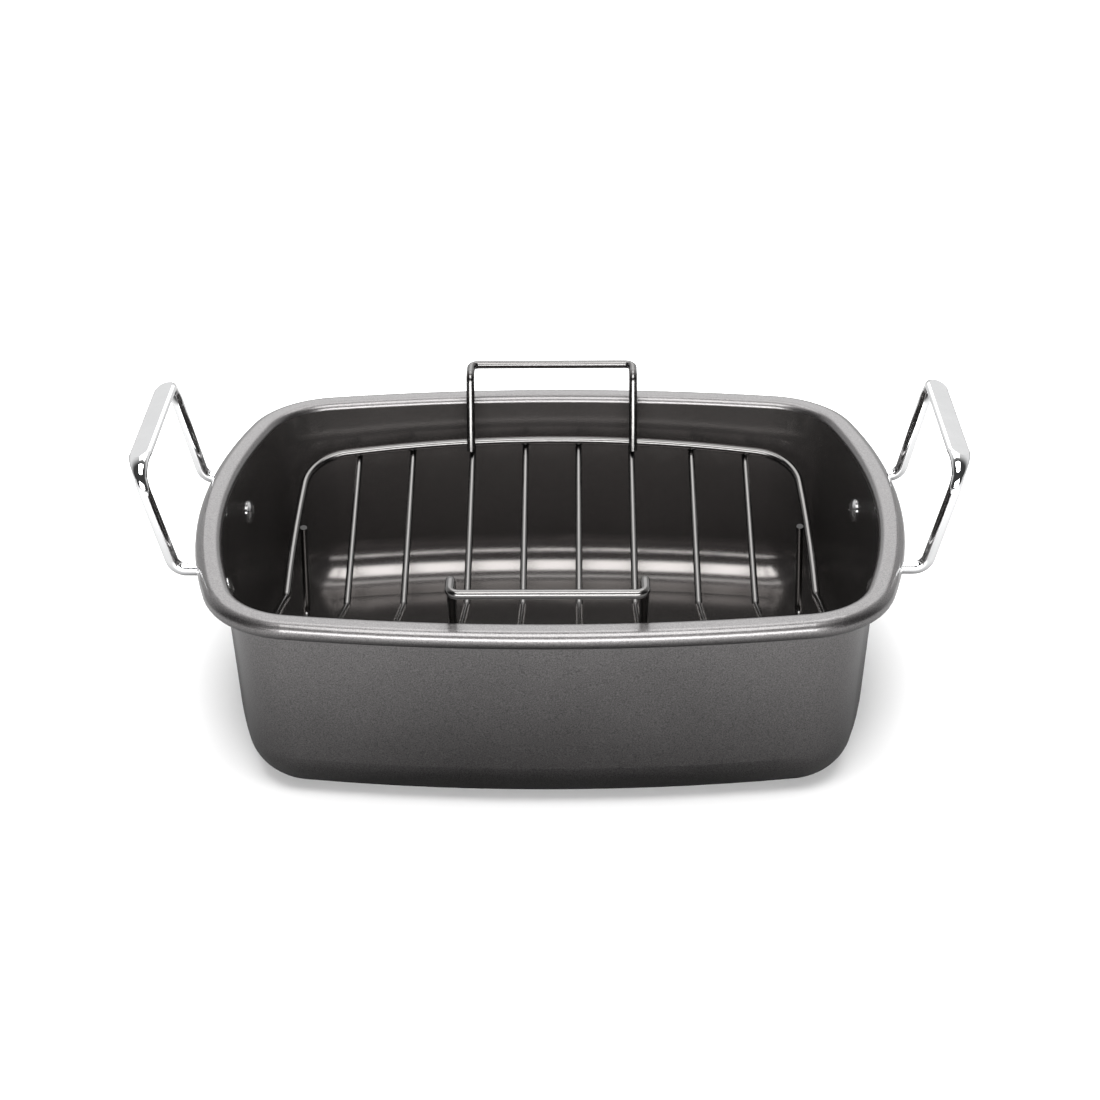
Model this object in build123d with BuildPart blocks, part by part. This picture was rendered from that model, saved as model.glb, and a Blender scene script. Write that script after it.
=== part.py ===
from build123d import *
import os
from math import acos, asin, atan, atan2, cos, degrees, hypot, radians, sin, sqrt, tan

os.makedirs("parts", exist_ok=True)

# Roasting pan with a lift-out V rack. The origin is the centre of the pan's flat underside,
# +X runs along the length to the right handle, +Z is up.

# Pan shell
rim_half_length = 216.0
rim_half_depth = 165.6
long_side_radius = 999.0
short_side_radius = 375.0
rim_corner_radius = 60.7
pan_height = 131.0
sheet = 1.0
wall_inset = 14.7
wall_draft = 6.9
floor_bend_radius = 30.0
lip_bend_radius = 4.5
bead_radius = 5.7
bead_turn_angle = 270
quarter_turn = 90
floor_margin = 0.6

# Running values
overrun = 5.0
seat_gap = 0.15
pin_clearance = 0.15
weld_sink = 0.15
stand_gap = 0.3

# Side handles and their rivets
handle_rod_radius = 3.85
handle_bead_gap = 0.3
stub_side = 61.0
low_corner_reach = 223.6
grip_reach = 240.6
grip_side = 63.5
grip_height = 184.0
wall_bend_radius = 5.5
low_bend_radius = 9.0
grip_bend_radius = 17.0
grip_round_share = 0.35
grip_width = 14.6
grip_depth = 6.8
grip_flat_depth = 1.1
rivet_side = 51.0
rivet_drop = 19.95
tab_width = 13.0
tab_thickness = 2.5
tab_end_reach = 7.5
tab_top_reach = 8.0
tab_taper_reach = 14.0
shank_radius = 2.5
inner_head_radius = 7.5
inner_head_rise = 2.75
outer_head_radius = 5.5
outer_head_rise = 2.2
head_rim = 0.6

# Rack frame
frame_wire_radius = 2.75
rack_end_clearance = 48.5
rack_side_clearance = 25.2
frame_slope = 19.2
frame_low_height = 60.4
rail_bow_radius = 808.0
end_bow_radius = 1271.0
frame_corner_radius = 32.0
frame_fold_radius = 10.0

# Rack ribs
rib_wire_radius = 2.25
rib_low_height = 54.4
rib_fold_radius = 6.0
rib_end_reach = 1.5
rib_station_shares = (0.1063, 0.3188, 0.5588, 0.7731)

# Rack feet
foot_wire_radius = 2.25
foot_set_in = 2.0
foot_side = 77.0
foot_top_side = 57.0
foot_top_reach = 0.5
foot_bend_radius = 7.0
foot_rest_share = 1.95

# Rack lifting handles
lift_wire_radius = 2.75
lift_half_length = 54.3
lift_shoulder_set_in = 2.4
lift_bar_set_out = 15.8
lift_bar_height = 151.9
lift_leg_reach = 4.9
lift_bend_radius = 5.5


def bowed_corner(half_length, half_depth, long_radius, short_radius, corner_radius):
    """Centres of the three arcs that round one quarter of a bowed rectangle."""
    long_centre = Vector(0, half_depth - long_radius)
    short_centre = Vector(half_length - short_radius, 0)
    between = short_centre - long_centre
    span = between.length
    along = between.normalized()
    across = Vector(along.Y, -along.X)
    to_long = long_radius - corner_radius
    to_short = short_radius - corner_radius
    advance = (to_long**2 - to_short**2 + span**2) / (2 * span)
    aside = sqrt(to_long**2 - advance**2)
    corner_centre = long_centre + along * advance + across * aside
    return long_centre, short_centre, corner_centre


def heading(start, end):
    """Angle in the plan view of the line from one point to another."""
    return degrees(atan2(end.Y - start.Y, end.X - start.X))


def lay_rod(points, bend_radius, section_radius):
    """Round rod or wire through the points, with the given bend radius at its corners."""
    with BuildLine() as run:
        FilletPolyline(*points, radius=bend_radius)
    with BuildSketch(Plane(origin=run.line @ 0, z_dir=run.line % 0)) as section:
        Circle(section_radius)
    sweep(section.sketch, path=run.line)


# Plan outline of the rim: each quarter is a short-side arc, a corner arc and a long-side arc
long_centre, short_centre, corner_centre = bowed_corner(
    rim_half_length, rim_half_depth, long_side_radius, short_side_radius, rim_corner_radius
)
corner_start = heading(short_centre, corner_centre)
corner_end = heading(long_centre, corner_centre)
rim_arcs = (
    (short_centre, short_side_radius, 0, corner_start),
    (corner_centre, rim_corner_radius, corner_start, corner_end),
    (long_centre, long_side_radius, corner_end, quarter_turn),
)
floor_inset = wall_inset + wall_draft + floor_bend_radius + floor_margin

# Handle stub under the bead, and the rivet seat below it: a point on the outer wall with the
# wall's outward normal
bead_bottom = pan_height - 2 * bead_radius
stub_height = bead_bottom - handle_bead_gap - handle_rod_radius
rivet_height = stub_height - rivet_drop
draft_angle = atan(wall_draft / (pan_height - sheet))
seat_inset = wall_inset + wall_draft * (pan_height - rivet_height) / (pan_height - sheet)
seat_radius = short_side_radius - seat_inset
seat_turn = asin(rivet_side / seat_radius)
seat_point = Vector(short_centre.X + seat_radius * cos(seat_turn), rivet_side, rivet_height)
seat_normal = Vector(
    cos(seat_turn) * cos(draft_angle), sin(seat_turn) * cos(draft_angle), -sin(draft_angle)
)
seat_level = Vector(-sin(seat_turn), cos(seat_turn), 0)
seat_rise = seat_normal.cross(seat_level)


with BuildPart() as pan_body:
    # Floor, drafted wall, flat flange and rolled bead as one bent sheet, turned about each arc
    for arc_centre, arc_radius, start_angle, end_angle in rim_arcs:
        turned = Plane(
            origin=arc_centre,
            x_dir=Vector(1, 0, 0).rotate(Axis.Z, start_angle),
            z_dir=Vector(0, -1, 0).rotate(Axis.Z, start_angle),
        )
        with BuildSketch(turned):
            with BuildLine():
                FilletPolyline(
                    (arc_radius - floor_inset, sheet / 2),
                    (arc_radius - wall_inset - wall_draft - sheet / 2, sheet / 2),
                    (arc_radius - wall_inset - sheet / 2, pan_height - sheet / 2),
                    (arc_radius - bead_radius, pan_height - sheet / 2),
                    radius=(floor_bend_radius, lip_bend_radius),
                )
                CenterArc(
                    (arc_radius - bead_radius, pan_height - bead_radius),
                    bead_radius - sheet / 2,
                    quarter_turn,
                    -bead_turn_angle,
                )
            trace(line_width=sheet)
        revolve(axis=Axis(arc_centre, (0, 0, 1)), revolution_arc=end_angle - start_angle)
    # Flat middle of the floor
    with BuildSketch():
        with BuildLine():
            for arc_centre, arc_radius, start_angle, end_angle in rim_arcs:
                CenterArc(
                    arc_centre, arc_radius - floor_inset, start_angle, end_angle - start_angle
                )
            Polyline(
                (0, rim_half_depth - floor_inset), (0, 0), (rim_half_length - floor_inset, 0)
            )
        make_face()
    extrude(amount=sheet)
    # Hole for one rivet shank
    with BuildSketch(Plane(origin=seat_point, z_dir=seat_normal)):
        Circle(shank_radius + pin_clearance)
    extrude(amount=overrun, both=True, mode=Mode.SUBTRACT)
    mirror(about=Plane.XZ)
    mirror(about=Plane.YZ)
pan_body.part.label = "pan_body"
export_step(pan_body.part, "parts/pan_body.step")


# Handle rod: up the wall from the tab, out under the bead, up and out to the grip
rod_offset = seat_gap + handle_rod_radius
rod_seat = seat_point + seat_normal * rod_offset
climb = (stub_height - rod_seat.Z) / seat_rise.Z
drift = (stub_side - rod_seat.Y - climb * seat_rise.Y) / seat_level.Y
wall_corner = rod_seat + seat_rise * climb + seat_level * drift
tab_along = (wall_corner - rod_seat).normalized()
tab_across = seat_normal.cross(tab_along)
tab_plane = Plane(origin=seat_point + seat_normal * seat_gap, x_dir=tab_along, z_dir=seat_normal)
low_corner = Vector(low_corner_reach, stub_side, stub_height)
grip_corner = Vector(grip_reach, grip_side, grip_height)
arm_up = (grip_corner - low_corner).normalized()
grip_across = Vector(0, -1, 0)
loop_normal = arm_up.cross(grip_across).normalized()
grip_turn = degrees(acos(arm_up.dot(grip_across)))
grip_set_back = grip_bend_radius * tan(radians(grip_turn / 2))
grip_bend_start = grip_corner - arm_up * grip_set_back
grip_bend_end = grip_corner + grip_across * grip_set_back
grip_bend_centre = grip_bend_start + loop_normal.cross(arm_up) * grip_bend_radius
grip_up = grip_across.cross(loop_normal)
grip_flat = Vector(grip_reach, 0, grip_height) + grip_up * (grip_depth / 2 - grip_flat_depth)
loop_axis = Axis((0, 0, 0), loop_normal)
round_arm = (grip_bend_start - grip_bend_centre).rotate(loop_axis, grip_turn * grip_round_share)
press_start = grip_bend_centre + round_arm
press_way = arm_up.rotate(loop_axis, grip_turn * grip_round_share)
tab_top = tab_plane.from_local_coords(Vector(tab_top_reach, 0, tab_thickness / 2))
tab_taper = tab_plane.from_local_coords(Vector(tab_taper_reach, 0, handle_rod_radius))


with BuildPart() as right_handle:
    # Round rod from the tab up the wall, out, up the arm and into the bend under the grip
    with BuildLine():
        FilletPolyline(
            tab_taper,
            wall_corner,
            low_corner,
            grip_bend_start,
            radius=(wall_bend_radius, low_bend_radius),
        )
        TangentArc(grip_bend_start, press_start, tangent=arm_up)
    with BuildSketch(Plane(origin=tab_taper, z_dir=tab_along)):
        Circle(handle_rod_radius)
    sweep()
    # Rest of the bend, widened to the grip's oval
    with BuildLine():
        TangentArc(press_start, grip_bend_end, tangent=press_way)
    with BuildSketch(Plane(origin=press_start, x_dir=loop_normal, z_dir=press_way)):
        Circle(handle_rod_radius)
    with BuildSketch(Plane(origin=grip_bend_end, x_dir=loop_normal, z_dir=grip_across)) as oval:
        Ellipse(grip_width / 2, grip_depth / 2)
    sweep(multisection=True)
    # Oval grip to the middle of the loop
    extrude(oval.sketch, amount=grip_bend_end.Y)
    # Flat pressed along the grip's top
    with BuildSketch(Plane(origin=grip_flat, x_dir=grip_across, z_dir=grip_up)):
        Rectangle(2 * (grip_side + overrun), grip_width + overrun)
    extrude(amount=overrun, mode=Mode.SUBTRACT)
    # Rod end drawn out flat
    with BuildSketch(Plane(origin=tab_taper, x_dir=tab_across, z_dir=tab_along)):
        Circle(handle_rod_radius)
    with BuildSketch(Plane(origin=tab_top, x_dir=tab_across, z_dir=tab_along)):
        SlotOverall(tab_width, tab_thickness)
    loft()
    # Flat tab with a round end, pierced for the rivet
    with BuildSketch(tab_plane):
        with Locations(((tab_top_reach - tab_end_reach + tab_width / 2) / 2, 0)):
            Rectangle(tab_top_reach + tab_end_reach - tab_width / 2, tab_width)
        with Locations((tab_width / 2 - tab_end_reach, 0)):
            Circle(tab_width / 2)
        Circle(shank_radius + pin_clearance, mode=Mode.SUBTRACT)
    extrude(amount=tab_thickness)
    mirror(about=Plane.XZ)
right_handle.part.label = "right_handle"
export_step(right_handle.part, "parts/right_handle.step")


with BuildPart() as left_handle:
    mirror(right_handle.part, about=Plane.YZ)
left_handle.part.label = "left_handle"
export_step(left_handle.part, "parts/left_handle.step")


# Rivet profile heights along its own axis, measured outward from the wall's outer face
outer_seat = seat_gap + tab_thickness + seat_gap
inner_seat = -sheet - seat_gap
outer_top = outer_seat + head_rim + outer_head_rise
inner_top = inner_seat - head_rim - inner_head_rise
rivet_section = Plane(origin=seat_point, x_dir=seat_level, z_dir=seat_level.cross(seat_normal))


with BuildPart() as handle_rivets:
    # Domed heads on both faces and the shank between them
    with BuildSketch(rivet_section):
        with BuildLine():
            TangentArc(
                (0, outer_top), (outer_head_radius, outer_seat + head_rim), tangent=(1, 0)
            )
            Polyline(
                (outer_head_radius, outer_seat + head_rim),
                (outer_head_radius, outer_seat),
                (shank_radius, outer_seat),
                (shank_radius, inner_seat),
                (inner_head_radius, inner_seat),
                (inner_head_radius, inner_seat - head_rim),
            )
            TangentArc(
                (0, inner_top), (inner_head_radius, inner_seat - head_rim), tangent=(1, 0)
            )
            Line((0, inner_top), (0, outer_top))
        make_face()
    revolve(axis=Axis(seat_point, seat_normal))
    mirror(about=Plane.XZ)
    mirror(about=Plane.YZ)
handle_rivets.part.label = "handle_rivets"
export_step(handle_rivets.part, "parts/handle_rivets.step")


# Frame loop laid out flat on one slope of the V, measured from the fold outward; the pan's
# length and depth less the clearances set its size
frame_half_length = rim_half_length - rack_end_clearance
frame_half_width = rim_half_depth - rack_side_clearance
slope = radians(frame_slope)
fold_reach = frame_fold_radius * tan(slope)
slope_half_width = frame_half_width - fold_reach
rail_centre, end_centre, bend_centre = bowed_corner(
    frame_half_length, slope_half_width, rail_bow_radius, end_bow_radius, frame_corner_radius
)
bend_start = heading(end_centre, bend_centre)
bend_end = heading(rail_centre, bend_centre)
slope_plane = Plane(
    origin=(0, fold_reach * cos(slope), frame_low_height + fold_reach * sin(slope)),
    x_dir=(1, 0, 0),
    z_dir=(0, -sin(slope), cos(slope)),
)


def rail_point(station):
    """Centre of the back rail's wire at a distance along the length."""
    bow = rail_centre.Y + sqrt(rail_bow_radius**2 - station**2)
    return slope_plane.from_local_coords(Vector(station, bow, 0))


def end_point(side):
    """Centre of the right end wire at a distance from the fold across the pan."""
    bow = end_centre.X + sqrt(end_bow_radius**2 - (side / cos(slope) - fold_reach) ** 2)
    return Vector(bow, side, frame_low_height + side * tan(slope))


with BuildPart() as rack_frame:
    # One quarter of the folded loop, from the fold at the right end to the middle of the rail
    with BuildLine(Plane.YZ.offset(frame_half_length)) as fold_run:
        CenterArc(
            (0, frame_low_height + frame_fold_radius / cos(slope)),
            frame_fold_radius,
            -quarter_turn,
            frame_slope,
        )
    with BuildLine(slope_plane):
        CenterArc(tuple(end_centre), end_bow_radius, 0, bend_start)
        CenterArc(tuple(bend_centre), frame_corner_radius, bend_start, bend_end - bend_start)
        CenterArc(tuple(rail_centre), rail_bow_radius, bend_end, quarter_turn - bend_end)
    with BuildSketch(Plane(origin=fold_run.line @ 0, z_dir=fold_run.line % 0)):
        Circle(frame_wire_radius)
    sweep()
    mirror(about=Plane.XZ)
    mirror(about=Plane.YZ)
rack_frame.part.label = "rack_frame"
export_step(rack_frame.part, "parts/rack_frame.step")


def rib_points(station_share):
    """End, fold and end of a rib that hangs under both rails at a share of the half length."""
    station = frame_half_length * station_share
    rail = rail_point(station)
    reach = hypot(rail.Y, rail.Z - rib_low_height)
    drop = frame_wire_radius + rib_wire_radius - weld_sink
    tilt = atan2(rail.Z - rib_low_height, rail.Y) - asin(drop / reach)
    length = sqrt(reach**2 - drop**2) + rib_end_reach
    tip_side = length * cos(tilt)
    tip_height = rib_low_height + length * sin(tilt)
    return (
        Vector(station, -tip_side, tip_height),
        Vector(station, 0, rib_low_height),
        Vector(station, tip_side, tip_height),
    )


with BuildPart() as rack_rib_1:
    lay_rod(rib_points(-rib_station_shares[3]), rib_fold_radius, rib_wire_radius)
rack_rib_1.part.label = "rack_rib_1"
export_step(rack_rib_1.part, "parts/rack_rib_1.step")


with BuildPart() as rack_rib_2:
    lay_rod(rib_points(-rib_station_shares[2]), rib_fold_radius, rib_wire_radius)
rack_rib_2.part.label = "rack_rib_2"
export_step(rack_rib_2.part, "parts/rack_rib_2.step")


with BuildPart() as rack_rib_3:
    lay_rod(rib_points(-rib_station_shares[1]), rib_fold_radius, rib_wire_radius)
rack_rib_3.part.label = "rack_rib_3"
export_step(rack_rib_3.part, "parts/rack_rib_3.step")


with BuildPart() as rack_rib_4:
    lay_rod(rib_points(-rib_station_shares[0]), rib_fold_radius, rib_wire_radius)
rack_rib_4.part.label = "rack_rib_4"
export_step(rack_rib_4.part, "parts/rack_rib_4.step")


with BuildPart() as rack_rib_5:
    lay_rod(rib_points(rib_station_shares[0]), rib_fold_radius, rib_wire_radius)
rack_rib_5.part.label = "rack_rib_5"
export_step(rack_rib_5.part, "parts/rack_rib_5.step")


with BuildPart() as rack_rib_6:
    lay_rod(rib_points(rib_station_shares[1]), rib_fold_radius, rib_wire_radius)
rack_rib_6.part.label = "rack_rib_6"
export_step(rack_rib_6.part, "parts/rack_rib_6.step")


with BuildPart() as rack_rib_7:
    lay_rod(rib_points(rib_station_shares[2]), rib_fold_radius, rib_wire_radius)
rack_rib_7.part.label = "rack_rib_7"
export_step(rack_rib_7.part, "parts/rack_rib_7.step")


with BuildPart() as rack_rib_8:
    lay_rod(rib_points(rib_station_shares[3]), rib_fold_radius, rib_wire_radius)
rack_rib_8.part.label = "rack_rib_8"
export_step(rack_rib_8.part, "parts/rack_rib_8.step")


# Foot line: welded inside the end wire, leaning down to a bend that rests on the floor's bend
floor_bend_inner = floor_bend_radius - sheet / 2
foot_reach = frame_half_length - foot_set_in
foot_rest_side = foot_side - foot_bend_radius * foot_rest_share
foot_inset = short_side_radius - hypot(foot_reach - short_centre.X, foot_rest_side)
foot_climb = max(0, floor_inset - floor_margin - foot_inset)
foot_seat_radius = floor_bend_inner - foot_wire_radius - stand_gap
foot_height = sheet + floor_bend_inner - sqrt(foot_seat_radius**2 - foot_climb**2)
foot_corner = Vector(foot_reach, foot_side, foot_height)
foot_spacing = frame_wire_radius + foot_wire_radius - weld_sink
foot_cross = end_point(foot_top_side) - Vector(foot_spacing, 0, 0)
foot_tip = foot_cross + (foot_cross - foot_corner).normalized() * foot_top_reach


with BuildPart() as rack_foot_right:
    lay_rod(
        (
            foot_tip,
            foot_corner,
            Vector(foot_corner.X, -foot_corner.Y, foot_corner.Z),
            Vector(foot_tip.X, -foot_tip.Y, foot_tip.Z),
        ),
        foot_bend_radius,
        foot_wire_radius,
    )
rack_foot_right.part.label = "rack_foot_right"
export_step(rack_foot_right.part, "parts/rack_foot_right.step")


with BuildPart() as rack_foot_left:
    mirror(rack_foot_right.part, about=Plane.YZ)
rack_foot_left.part.label = "rack_foot_left"
export_step(rack_foot_left.part, "parts/rack_foot_left.step")


# Lifting handle leg: leans past the inner side of the rail, touching it
lift_rail = rail_point(lift_half_length)
lift_shoulder_side = frame_half_width - lift_shoulder_set_in
lift_bar_side = frame_half_width + lift_bar_set_out
lift_shoulder = Vector(lift_half_length, lift_shoulder_side, lift_bar_height)
lift_rise = hypot(lift_shoulder_side - lift_rail.Y, lift_bar_height - lift_rail.Z)
lift_spacing = frame_wire_radius + lift_wire_radius - weld_sink
lift_lean = atan2(lift_shoulder_side - lift_rail.Y, lift_bar_height - lift_rail.Z) + asin(
    lift_spacing / lift_rise
)
lift_leg = sqrt(lift_rise**2 - lift_spacing**2) + lift_leg_reach
lift_tip = lift_shoulder - Vector(0, sin(lift_lean), cos(lift_lean)) * lift_leg
lift_corner = Vector(lift_half_length, lift_bar_side, lift_bar_height)


with BuildPart() as rack_lift_handle_back:
    lay_rod(
        (
            lift_tip,
            lift_shoulder,
            lift_corner,
            Vector(-lift_corner.X, lift_corner.Y, lift_corner.Z),
            Vector(-lift_shoulder.X, lift_shoulder.Y, lift_shoulder.Z),
            Vector(-lift_tip.X, lift_tip.Y, lift_tip.Z),
        ),
        lift_bend_radius,
        lift_wire_radius,
    )
rack_lift_handle_back.part.label = "rack_lift_handle_back"
export_step(rack_lift_handle_back.part, "parts/rack_lift_handle_back.step")


with BuildPart() as rack_lift_handle_front:
    mirror(rack_lift_handle_back.part, about=Plane.XZ)
rack_lift_handle_front.part.label = "rack_lift_handle_front"
export_step(rack_lift_handle_front.part, "parts/rack_lift_handle_front.step")
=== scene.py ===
import math

import bpy
from mathutils import Matrix, Vector

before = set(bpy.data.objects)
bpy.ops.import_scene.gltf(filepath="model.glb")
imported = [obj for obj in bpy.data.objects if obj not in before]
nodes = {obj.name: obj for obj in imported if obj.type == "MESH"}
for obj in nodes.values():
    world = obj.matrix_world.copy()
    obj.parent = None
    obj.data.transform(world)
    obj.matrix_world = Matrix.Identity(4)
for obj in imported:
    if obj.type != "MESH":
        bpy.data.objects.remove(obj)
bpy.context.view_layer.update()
white = (1.0, 1.0, 1.0, 1.0)


# Shader helpers

class Graph:
    """A material or world node tree, with short ways to add nodes and links."""

    def __init__(self, owner):
        owner.use_nodes = True
        self.tree = owner.node_tree
        self.tree.nodes.clear()

    def add(self, kind, **inputs):
        node = self.tree.nodes.new(kind)
        for name, value in inputs.items():
            self.put(node.inputs[name.replace("_", " ")], value)
        return node

    def put(self, socket, value):
        if isinstance(value, bpy.types.NodeSocket):
            self.tree.links.new(value, socket)
        else:
            socket.default_value = value

    def math(self, operation, a, b=0.0, c=0.0, clamp=False):
        node = self.tree.nodes.new("ShaderNodeMath")
        node.operation = operation
        node.use_clamp = clamp
        for socket, value in zip(node.inputs, (a, b, c)):
            self.put(socket, value)
        return node.outputs[0]

    def spread(self, value, low, high, to_low=0.0, to_high=1.0, smooth=False):
        node = self.tree.nodes.new("ShaderNodeMapRange")
        if smooth:
            node.interpolation_type = "SMOOTHSTEP"
        for socket, number in zip(node.inputs, (value, low, high, to_low, to_high)):
            self.put(socket, number)
        return node.outputs[0]

    def blend(self, share, a, b):
        node = self.tree.nodes.new("ShaderNodeMix")
        node.data_type = "RGBA"
        self.put(node.inputs[0], share)
        self.put(node.inputs[6], a)
        self.put(node.inputs[7], b)
        return node.outputs[2]

    def noise(self, where, scale, detail=2.0, rough=0.5):
        node = self.add("ShaderNodeTexNoise", Vector=where, Scale=scale, Detail=detail, Roughness=rough)
        return node.outputs["Fac"]

    def bump(self, height, strength, distance):
        node = self.add("ShaderNodeBump", Height=height, Strength=strength, Distance=distance)
        return node.outputs["Normal"]


def nonstick(name, tone, warm, metallic, rough, grain, coat=0.0):
    """Satin metal-flake coating: fine grain in its colour, soft mottling in its sheen."""
    material = bpy.data.materials.new(name)
    graph = Graph(material)
    place = graph.add("ShaderNodeTexCoord").outputs["Object"]
    flake = graph.noise(place, 1400.0, 3.0, 0.7)
    cloud = graph.noise(place, 14.0, 3.0, 0.55)
    level = graph.math(
        "ADD",
        graph.spread(flake, 0.3, 0.7, 1.0 - grain, 1.0 + grain),
        graph.spread(cloud, 0.3, 0.7, -0.04, 0.04),
    )
    colour = graph.add("ShaderNodeCombineColor")
    for channel, share in zip(("Red", "Green", "Blue"), warm):
        graph.put(colour.inputs[channel], graph.math("MULTIPLY", level, tone * share))
    sheen = graph.math(
        "ADD",
        graph.spread(flake, 0.3, 0.7, rough - 0.03, rough + 0.03),
        graph.spread(cloud, 0.3, 0.7, -0.015, 0.015),
    )
    shader = graph.add("ShaderNodeBsdfPrincipled", Metallic=metallic, Coat_Weight=coat)
    graph.put(shader.inputs["Coat Roughness"], 0.12)
    graph.put(shader.inputs["Base Color"], colour.outputs[0])
    graph.put(shader.inputs["Roughness"], sheen)
    graph.put(shader.inputs["Normal"], graph.bump(flake, 0.12, 0.0002))
    out = graph.add("ShaderNodeOutputMaterial")
    graph.put(out.inputs["Surface"], shader.outputs[0])
    return material


def bright_metal(name, tone, rough, wave):
    """Plated or bare bright metal with faint drawing waves and handling haze."""
    material = bpy.data.materials.new(name)
    graph = Graph(material)
    place = graph.add("ShaderNodeTexCoord").outputs["Object"]
    haze = graph.noise(place, 60.0, 4.0, 0.6)
    swell = graph.noise(place, 90.0, 1.0, 0.4)
    speck = graph.noise(place, 1800.0, 2.0, 0.6)
    level = graph.spread(haze, 0.3, 0.7, tone - 0.02, tone + 0.02)
    colour = graph.add("ShaderNodeCombineColor")
    for channel, share in zip(("Red", "Green", "Blue"), (0.99, 0.995, 1.0)):
        graph.put(colour.inputs[channel], graph.math("MULTIPLY", level, share))
    shader = graph.add("ShaderNodeBsdfPrincipled", Metallic=1.0)
    graph.put(shader.inputs["Base Color"], colour.outputs[0])
    graph.put(shader.inputs["Roughness"], graph.spread(haze, 0.3, 0.7, rough * 0.7, rough * 1.3))
    ripple = graph.bump(swell, wave, 0.001)
    fine = graph.add("ShaderNodeBump", Height=speck, Strength=0.02, Distance=0.0001, Normal=ripple)
    graph.put(shader.inputs["Normal"], fine.outputs["Normal"])
    out = graph.add("ShaderNodeOutputMaterial")
    graph.put(out.inputs["Surface"], shader.outputs[0])
    return material


# Finishes
pan_warmth = (1.02, 0.975, 0.975)
inside_warmth = (1.04, 0.98, 0.95)
wire_warmth = (1.02, 0.99, 0.97)
outside = nonstick("nonstick_outside", 0.128, pan_warmth, metallic=1.0, rough=0.38, grain=0.45, coat=0.8)
inside = nonstick("nonstick_inside", 0.122, inside_warmth, metallic=0.85, rough=0.20, grain=0.08, coat=0.2)
wire = nonstick("nonstick_wire", 0.12, wire_warmth, metallic=1.0, rough=0.2, grain=0.06, coat=0.3)
# Near-black finish that paints shade onto the feet's upper ends
painted_shade_end = nonstick("nonstick_painted_shade_end", 0.02, wire_warmth, metallic=0.0, rough=0.6, grain=0.06)
chrome = bright_metal("chrome_plate", tone=0.86, rough=0.05, wave=0.05)
rivet_steel = bright_metal("rivet_steel", tone=0.72, rough=0.16, wave=0.05)


def give(node, *materials):
    """Gives a CAD node its materials, in slot order."""
    mesh = nodes[node].data
    mesh.materials.clear()
    for material in materials:
        mesh.materials.append(material)


# Pan faces: the floor and the inner walls below the flange take the inside finish
give("pan_body", outside, inside)
rim_height = 0.131
flange_depth = 0.004
floor_level = 0.03
level_share = 0.5
least_inward = 1e-5
bead_side = 0.2005
bead_front = 0.1500
for face in nodes["pan_body"].data.polygons:
    centre, normal = face.center, face.normal
    inward = centre.x * normal.x + centre.y * normal.y < -least_inward
    low = centre.z < rim_height - flange_depth
    on_floor = normal.z > level_share and centre.z < floor_level
    under_bead = abs(centre.x) > bead_side or abs(centre.y) > bead_front
    face.material_index = 1 if on_floor or (inward and low and not under_bead) else 0
give("left_handle", chrome)
give("right_handle", chrome)
give("handle_rivets", rivet_steel)
for name in nodes:
    if name.startswith("rack_"):
        give(name, wire, painted_shade_end)

# Painted shade: the upward-facing faces at the cut upper ends of the feet take the near-black second finish
end_depth = 0.002
end_upward = 0.9
for name in ("rack_foot_left", "rack_foot_right"):
    mesh = nodes[name].data
    top = max(vertex.co.z for vertex in mesh.vertices)
    for face in mesh.polygons:
        if face.center.z > top - end_depth and face.normal.z > end_upward:
            face.material_index = 1


# Floor: pale to the camera and glowing white to it far away; the object sees it darker near the pan, a
# painted shade in its reflections
floor_mesh = bpy.data.meshes.new("floor")
reach = 6.0
floor_drop = 0.0002
painted_shade_radius, bright_radius = 0.17, 0.45
painted_shade_share, bright_share = 0.07, 0.7
glow_start, glow_end = 0.2, 0.5
floor_mesh.from_pydata(
    [(-reach, -reach, 0), (reach, -reach, 0), (reach, reach, 0), (-reach, reach, 0)],
    [],
    [(0, 1, 2, 3)],
)
floor = bpy.data.objects.new("floor", floor_mesh)
bpy.context.scene.collection.objects.link(floor)
floor.location.z = -floor_drop
paper = bpy.data.materials.new("floor_paper")
graph = Graph(paper)
place = graph.add("ShaderNodeTexCoord").outputs["Object"]
seen = graph.add("ShaderNodeLightPath").outputs["Is Camera Ray"]
away = graph.add("ShaderNodeVectorMath", Vector=place)
away.operation = "LENGTH"
distance = away.outputs["Value"]
# Painted shade: rays other than camera rays see the floor's colour darker close to the pan
reflected_shade = graph.spread(distance, painted_shade_radius, bright_radius, painted_shade_share, bright_share)
tone = graph.spread(graph.noise(place, 3.0), 0.3, 0.7, 0.89, 0.91)
tone = graph.math("MULTIPLY", tone, graph.math("MAXIMUM", seen, reflected_shade))
colour = graph.add("ShaderNodeCombineColor", Red=tone, Green=tone, Blue=tone)
far = graph.spread(distance, glow_start, glow_end, smooth=True)
shader = graph.add("ShaderNodeBsdfPrincipled", Roughness=0.9)
graph.put(shader.inputs["Base Color"], colour.outputs[0])
graph.put(shader.inputs["Specular IOR Level"], 0.1)
graph.put(shader.inputs["Emission Color"], white)
graph.put(shader.inputs["Emission Strength"], graph.math("MULTIPLY", far, seen))
out = graph.add("ShaderNodeOutputMaterial")
graph.put(out.inputs["Surface"], shader.outputs[0])
floor_mesh.materials.append(paper)


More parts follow.
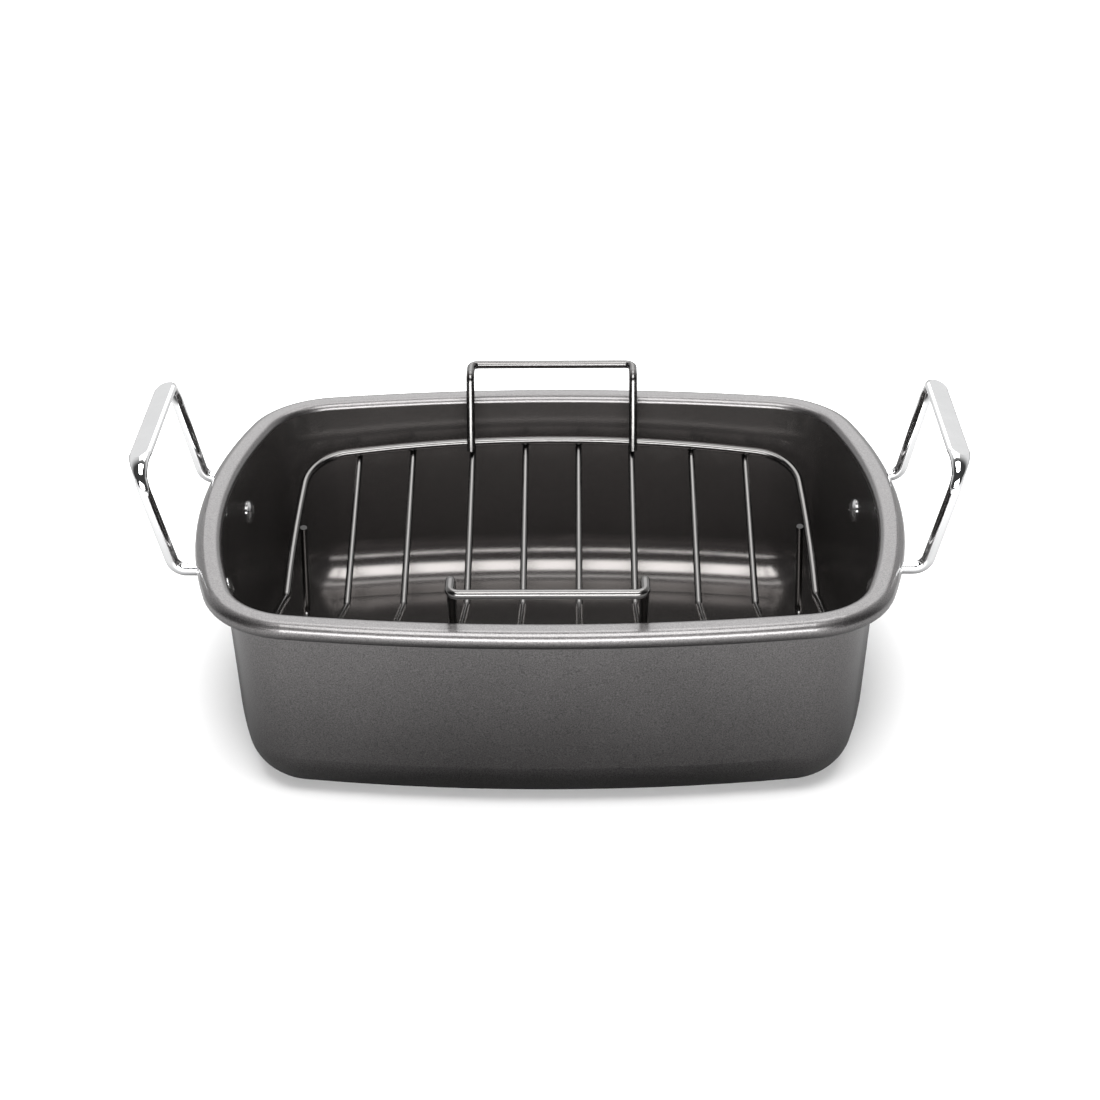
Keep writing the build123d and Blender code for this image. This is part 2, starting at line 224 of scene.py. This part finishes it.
# Soft boxes: two overhead, and a low one in front that lights floor and object but gives no highlights
box_height = 1.35
front_box_depth, back_box_depth = -0.55, 0.54
box_width, box_length = 1.1, 0.8
def soft_box(name, place, aim, width, height, radiance, gloss=1.0):
    """A rectangular area lamp that looks at a point."""
    lamp = bpy.data.lights.new(name, "AREA")
    lamp.shape = "RECTANGLE"
    lamp.size, lamp.size_y = width, height
    lamp.energy = radiance * math.pi * width * height
    lamp.specular_factor = gloss
    item = bpy.data.objects.new(name, lamp)
    bpy.context.scene.collection.objects.link(item)
    item.location = place
    item.rotation_euler = (Vector(aim) - Vector(place)).to_track_quat("-Z", "Y").to_euler()


soft_box("front_box", (0, front_box_depth, box_height), (0, front_box_depth, 0), box_width, box_length, 7.6)
soft_box("back_box", (0, back_box_depth, box_height), (0, back_box_depth, 0), box_width, box_length, 3.0)
soft_box("floor_fill", (0, -1.9, 0.55), (0, -0.1, 0), 2.2, 0.7, 12.0, gloss=0.0)


# Surroundings: white to the camera; the object sees them dimmer, most of all on the camera's side
world = bpy.data.worlds.new("studio")
bpy.context.scene.world = world
graph = Graph(world)
toward = graph.add("ShaderNodeSeparateXYZ", Vector=graph.add("ShaderNodeTexCoord").outputs["Generated"])
dim_side, lit_side = -0.1, 0.55
dim_level, lit_level = 0.05, 0.85
panel_strength = 1.6
behind = graph.spread(toward.outputs["Y"], dim_side, lit_side, dim_level, lit_level, smooth=True)
flank = graph.math("ABSOLUTE", toward.outputs["X"])
panel = graph.math(
    "MULTIPLY",
    graph.spread(toward.outputs["Z"], 0.28, 0.42, smooth=True),
    graph.math(
        "MULTIPLY",
        graph.spread(flank, 0.42, 0.22, smooth=True),
        graph.spread(toward.outputs["Y"], 0.3, 0.6, smooth=True),
    ),
)
radiance = graph.math("MULTIPLY_ADD", panel, panel_strength, behind)
dim = graph.add("ShaderNodeCombineColor", Red=radiance, Green=radiance, Blue=radiance)
seen = graph.add("ShaderNodeLightPath").outputs["Is Camera Ray"]
colour = graph.blend(seen, dim.outputs[0], white)
background = graph.add("ShaderNodeBackground", Strength=1.0)
graph.put(background.inputs["Color"], colour)
out = graph.add("ShaderNodeOutputWorld")
graph.put(out.inputs["Surface"], background.outputs[0])


# Camera: turned, tilted down and rolled, in radians
camera_place = (0.015377, -1.22805, 0.76429)
sensor_width = 36.0
focal_share = 2238.53 / 1100
tilt, turn, roll = 0.4992, 0.0128, -0.0087
ahead = Vector((-math.sin(turn) * math.cos(tilt), math.cos(turn) * math.cos(tilt), -math.sin(tilt)))
level = Vector((math.cos(turn), math.sin(turn), 0))
upright = level.cross(ahead)
right = level * math.cos(roll) + upright * math.sin(roll)
up = upright * math.cos(roll) - level * math.sin(roll)
camera_data = bpy.data.cameras.new("camera")
camera_data.sensor_width = sensor_width
camera_data.lens = sensor_width * focal_share
camera_data.clip_end = 50.0
camera = bpy.data.objects.new("camera", camera_data)
bpy.context.scene.collection.objects.link(camera)
camera.matrix_world = Matrix((
    (right.x, up.x, -ahead.x, camera_place[0]),
    (right.y, up.y, -ahead.y, camera_place[1]),
    (right.z, up.z, -ahead.z, camera_place[2]),
    (0, 0, 0, 1),
))
bpy.context.scene.camera = camera
bpy.context.scene.view_settings.view_transform = "Standard"
